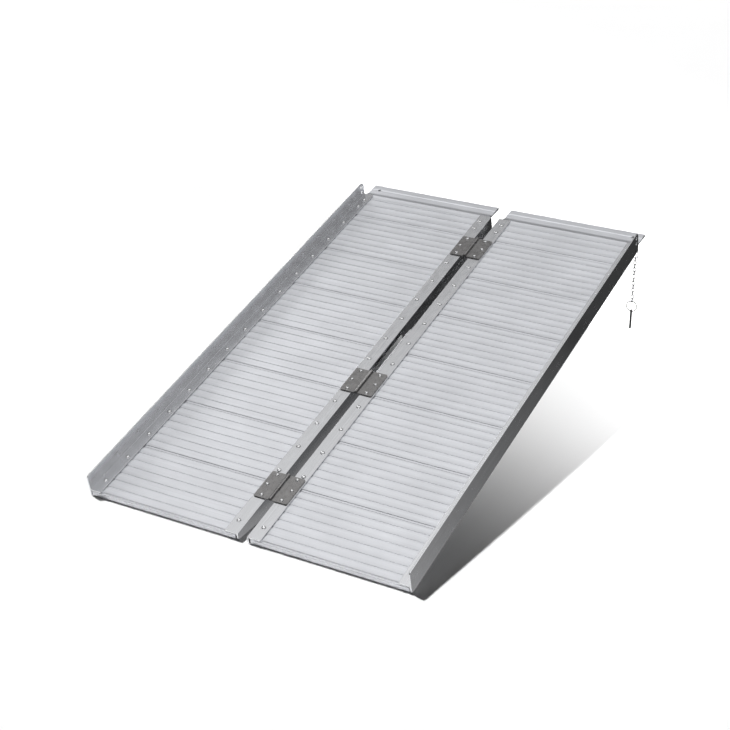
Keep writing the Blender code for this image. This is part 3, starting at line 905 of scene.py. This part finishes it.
def add_grip(material):
    """The grip over the strap of web above the right-hand slot."""
    node = "handle_grip"
    low, high = ramp_box(node)
    near, face = near_far("right_inner_web", "right")
    strap = SLOT_TOPS["right"]
    leg_top = strap + GRIP_LEG_TOP
    outline = rounded_outline([
        (low.x, high.z, GRIP_TOP_ROUND),
        (near - FIT_GAP, high.z, 0.0),
        (near - FIT_GAP, strap - FIT_GAP, 0.0),
        (face + FIT_GAP, strap - FIT_GAP, 0.0),
        (face + FIT_GAP, leg_top, 0.0),
        (face + GRIP_LEG, leg_top, EDGE_ROUND),
        (face + GRIP_LEG, low.z, GRIP_TOP_ROUND),
        (low.x, low.z, GRIP_NOSE_ROUND),
    ])
    bm = bmesh.new()
    radius = (strap - SLOT_BOTTOM) / 2
    middle = (low.y + high.y) / 2
    flat = SLOT_LENGTH / 2 - radius
    add_prism(bm, outline, "Y", middle - flat, middle + flat)
    grip = to_object("hand_grip", bm)
    nose = rounded_outline([
        (low.x, high.z, GRIP_TOP_ROUND),
        (near - FIT_GAP, high.z, 0.0),
        (near - FIT_GAP, low.z, 0.0),
        (low.x, low.z, GRIP_NOSE_ROUND),
    ])
    bm = bmesh.new()
    add_prism(bm, nose, "Y", low.y, high.y)
    combine(grip, [to_object("grip_front", bm)], "UNION")
    dress(grip, material, "rail_aluminium", BODIES["right"], node)


# Tether, chain, ring and pin -------------------------------------------------

def world_link(name, node, wire, flat_axis, sides, steps, material, body):
    """An oval link of round wire that fills its CAD node's box."""
    low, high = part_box(node)
    centre = (low + high) / 2
    size = high - low
    across = Vector((0, 1, 0)) if flat_axis == "X" else Vector((1, 0, 0))
    normal = Vector((1, 0, 0)) if flat_axis == "X" else Vector((0, 1, 0))
    width = size.y if flat_axis == "X" else size.x
    radius = width / 2 - wire
    straight = size.z / 2 - wire - radius
    path = []
    for end, turn in ((1, 0.0), (-1, pi)):
        for step in range(steps + 1):
            t = turn + pi * step / steps
            middle = centre + Vector((0, 0, end * straight))
            path.append(middle + radius * (across * cos(t) + Vector((0, 0, sin(t)))))
    bm = bmesh.new()
    add_wire_loop(bm, path, normal, wire, sides)
    piece = to_object(name, bm, Matrix.Identity(4))
    dress(piece, material, "plated_steel", body, node)


def add_chain(material):
    """The tether link, the chain, the ring and the locking pin."""
    tether = "tether_link"
    world_link("tether", tether, TETHER_WIRE, "Y", 14, 16, material, tether)
    links = sorted(node for node in frame["nodes"] if node.startswith("chain_link_"))
    for node in links:
        low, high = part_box(node)
        flat_axis = "X" if high.x - low.x < high.y - low.y else "Y"
        name = node.replace("chain_link", "link")
        world_link(name, node, LINK_WIRE, flat_axis, 12, 12, material, "pin_chain")
    low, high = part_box("pin_ring")
    centre = (low + high) / 2
    radius = (high.z - low.z) / 2 - RING_WIRE
    path = [centre + Vector((p.x, 0.0, p.y)) for p in circle_outline(radius, 64)]
    bm = bmesh.new()
    add_wire_loop(bm, path, Vector((0, 1, 0)), RING_WIRE, 16)
    ring = to_object("ring", bm, Matrix.Identity(4))
    dress(ring, material, "plated_steel", "pin_ring", "pin_ring")
    add_locking_pin(material)


def add_locking_pin(material):
    """A round pin, chamfered at both ends, with a cross hole."""
    low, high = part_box("locking_pin")
    centre = (low + high) / 2
    radius = (high.x - low.x) / 2
    length = high.z - low.z
    ring_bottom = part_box("pin_ring")[0].z + RING_WIRE
    profile = [
        (radius - PIN_CHAMFER, 0.0),
        (radius, PIN_CHAMFER),
        (radius, length - PIN_CHAMFER),
        (radius - PIN_CHAMFER, length),
    ]
    bm = bmesh.new()
    add_turned(bm, profile, Vector((centre.x, centre.y, low.z)), 32)
    pin = to_object("pin", bm, Matrix.Identity(4))
    bm = bmesh.new()
    hole = circle_outline(PIN_HOLE_RADIUS, 24, centre.y, ring_bottom)
    add_prism(bm, hole, "X", centre.x - CUT_PAST, centre.x + CUT_PAST)
    combine(pin, [to_object("cross_hole", bm, Matrix.Identity(4))], "DIFFERENCE")
    dress(pin, material, "plated_steel", "locking_pin", "locking_pin")


# Stage -----------------------------------------------------------------------

def colour_ramp(tree, value, levels):
    """Greys for a value, from (position, level) pairs."""
    node = tree.nodes.new("ShaderNodeValToRGB")
    elements = node.color_ramp.elements
    while len(elements) < len(levels):
        elements.new(0.5)
    for element, (position, level) in zip(elements, levels):
        element.position = position
        element.color = (level, level, level, 1.0)
    tree.links.new(value, node.inputs["Fac"])
    return node.outputs["Color"]


def add_floor():
    """A plain pale floor under the toe of the ramp."""
    size = FLOOR_SIZE
    level = cad_bounds[0][2] - FLOOR_GAP
    bm = bmesh.new()
    corners = [(-size, -size), (size, -size), (size, size), (-size, size)]
    bm.faces.new([bm.verts.new((x, y, level)) for x, y in corners])
    floor = to_object("studio_floor", bm, Matrix.Identity(4))
    material = bpy.data.materials.new("floor_paper")
    material.use_nodes = True
    shader = material.node_tree.nodes["Principled BSDF"]
    shader.inputs["Roughness"].default_value = 0.9
    shader.inputs["Specular IOR Level"].default_value = 0.1
    noise = material.node_tree.nodes.new("ShaderNodeTexNoise")
    noise.inputs["Scale"].default_value = 3.0
    tint = material.node_tree.nodes.new("ShaderNodeValToRGB")
    tint.color_ramp.elements[0].color = (0.90, 0.90, 0.90, 1.0)
    tint.color_ramp.elements[1].color = (0.93, 0.93, 0.93, 1.0)
    material.node_tree.links.new(noise.outputs["Fac"], tint.inputs["Fac"])
    material.node_tree.links.new(tint.outputs["Color"], shader.inputs["Base Color"])
    floor.data.materials.append(material)


def add_painted_shade_card():
    """Painted reflection of shaded floor: a card from under the ramp to its right that glows
    dimmer towards the back and only shows in metal.
    """
    level = cad_bounds[0][2] + CARD_LIFT
    near, far = CARD_X
    front, back = CARD_Y
    bm = bmesh.new()
    profile = [(near, level), (far, level), (far, level + CARD_HEIGHT)]
    rows = [[bm.verts.new((x, y, z)) for x, z in profile] for y in (front, back)]
    for index in range(len(profile) - 1):
        here, there = rows
        bm.faces.new((here[index], here[index + 1], there[index + 1], there[index]))
    card = to_object("painted_shade_card", bm, Matrix.Identity(4))
    material = bpy.data.materials.new("painted_shade_glow")
    material.use_nodes = True
    tree = material.node_tree
    shader = tree.nodes["Principled BSDF"]
    shader.inputs["Base Color"].default_value = (0.01, 0.01, 0.01, 1.0)
    shader.inputs["Roughness"].default_value = 1.0
    shader.inputs["Emission Strength"].default_value = 1.0
    place = tree.nodes.new("ShaderNodeTexCoord")
    split = tree.nodes.new("ShaderNodeSeparateXYZ")
    along = tree.nodes.new("ShaderNodeMapRange")
    along.inputs["From Min"].default_value = front
    along.inputs["From Max"].default_value = back
    tree.links.new(place.outputs["Object"], split.inputs["Vector"])
    tree.links.new(split.outputs["Y"], along.inputs["Value"])
    # Painted shade: this glow, seen only in reflections, stands in for the floor in shadow.
    grade = colour_ramp(tree, along.outputs["Result"], PAINTED_SHADE_LEVELS)
    tree.links.new(grade, shader.inputs["Emission Color"])
    card.data.materials.append(material)
    card.visible_camera = False
    card.visible_diffuse = False
    card.visible_shadow = False


def add_world():
    """White surroundings, which metal sees as bright overhead and dim low down."""
    world = bpy.data.worlds.new("studio")
    bpy.context.scene.world = world
    world.use_nodes = True
    tree = world.node_tree
    background = tree.nodes["Background"]
    path = tree.nodes.new("ShaderNodeLightPath")
    direction = tree.nodes.new("ShaderNodeTexCoord")
    split = tree.nodes.new("ShaderNodeSeparateXYZ")
    tree.links.new(direction.outputs["Generated"], split.inputs["Vector"])
    sky = colour_ramp(tree, split.outputs["Z"], SKY_LEVELS)
    mix = tree.nodes.new("ShaderNodeMix")
    mix.data_type = "RGBA"
    mix.inputs[6].default_value = (1.0, 1.0, 1.0, 1.0)
    tree.links.new(path.outputs["Is Glossy Ray"], mix.inputs[0])
    tree.links.new(sky, mix.inputs[7])
    tree.links.new(mix.outputs[2], background.inputs["Color"])
    strengths = (("Is Diffuse Ray", AMBIENT - 1.0), ("Is Glossy Ray", SKY_GLOSS - 1.0))
    total = 1.0
    for ray, change in strengths:
        step = tree.nodes.new("ShaderNodeMath")
        step.operation = "MULTIPLY_ADD"
        tree.links.new(path.outputs[ray], step.inputs[0])
        step.inputs[1].default_value = change
        if isinstance(total, float):
            step.inputs[2].default_value = total
        else:
            tree.links.new(total, step.inputs[2])
        total = step.outputs[0]
    tree.links.new(total, background.inputs["Strength"])


def add_lamp(name, kind, energy, place, target):
    """A lamp that points from one place to another and doesn't shine in metal."""
    light = bpy.data.lights.new(name, kind)
    light.energy = energy
    lamp = bpy.data.objects.new(name, light)
    lamp.location = place
    aim = Vector(target) - Vector(place)
    lamp.rotation_euler = aim.to_track_quat("-Z", "Y").to_euler()
    lamp.visible_glossy = False
    bpy.context.scene.collection.objects.link(lamp)
    return light


def add_light():
    """A key from the left, a fill under the high end, and a box for the metal."""
    key = add_lamp("key", "SUN", KEY_ENERGY, KEY_PLACE, (0.0, 0.0, 0.0))
    key.angle = KEY_ANGLE
    fill = add_lamp("fill", "SPOT", FILL_ENERGY, FILL_PLACE, FILL_TARGET)
    fill.spot_size = FILL_CONE
    fill.spot_blend = 1.0
    fill.shadow_soft_size = FILL_SIZE
    box = add_lamp("softbox", "AREA", BOX_ENERGY, BOX_PLACE, BOX_TARGET)
    box.size = BOX_SIZE
    softbox = bpy.data.objects["softbox"]
    softbox.visible_glossy = True
    softbox.visible_diffuse = False
    softbox.visible_camera = False


def add_camera():
    """The camera, looking down at the deck from the right of the toe."""
    data = bpy.data.cameras.new("camera")
    data.angle = CAMERA_ANGLE
    camera = bpy.data.objects.new("camera", data)
    aim = CAMERA_TARGET - CAMERA_PLACE
    camera.location = CAMERA_PLACE
    turn = aim.to_track_quat("-Z", "Y").to_matrix().to_4x4()
    roll = Matrix.Rotation(CAMERA_ROLL, 4, "Z")
    camera.rotation_euler = (turn @ roll).to_euler()
    bpy.context.scene.collection.objects.link(camera)
    bpy.context.scene.camera = camera
    bpy.context.scene.view_settings.view_transform = "Standard"


def main():
    """Dress the frame and set the stage."""
    deck = deck_material()
    rail = rail_material()
    steel = hinge_material()
    rivet = rivet_material()
    plated = plated_material()
    add_camera()
    for side in SIDES:
        for number in range(1, PLANKS + 1):
            node = f"{side}_deck_plank_{number}"
            add_plank(node, f"{side}_plank_{number}", side, deck)
        add_lip_plank(side, deck)
        add_side_rail(side, rail)
        add_inner_rail(side, rail)
        add_flange_rivets(side, rivet)
    for name in HINGE_NAMES:
        add_hinge(name, steel, rivet)
    add_grip(rail)
    add_chain(plated)
    add_floor()
    add_painted_shade_card()
    add_world()
    add_light()


main()
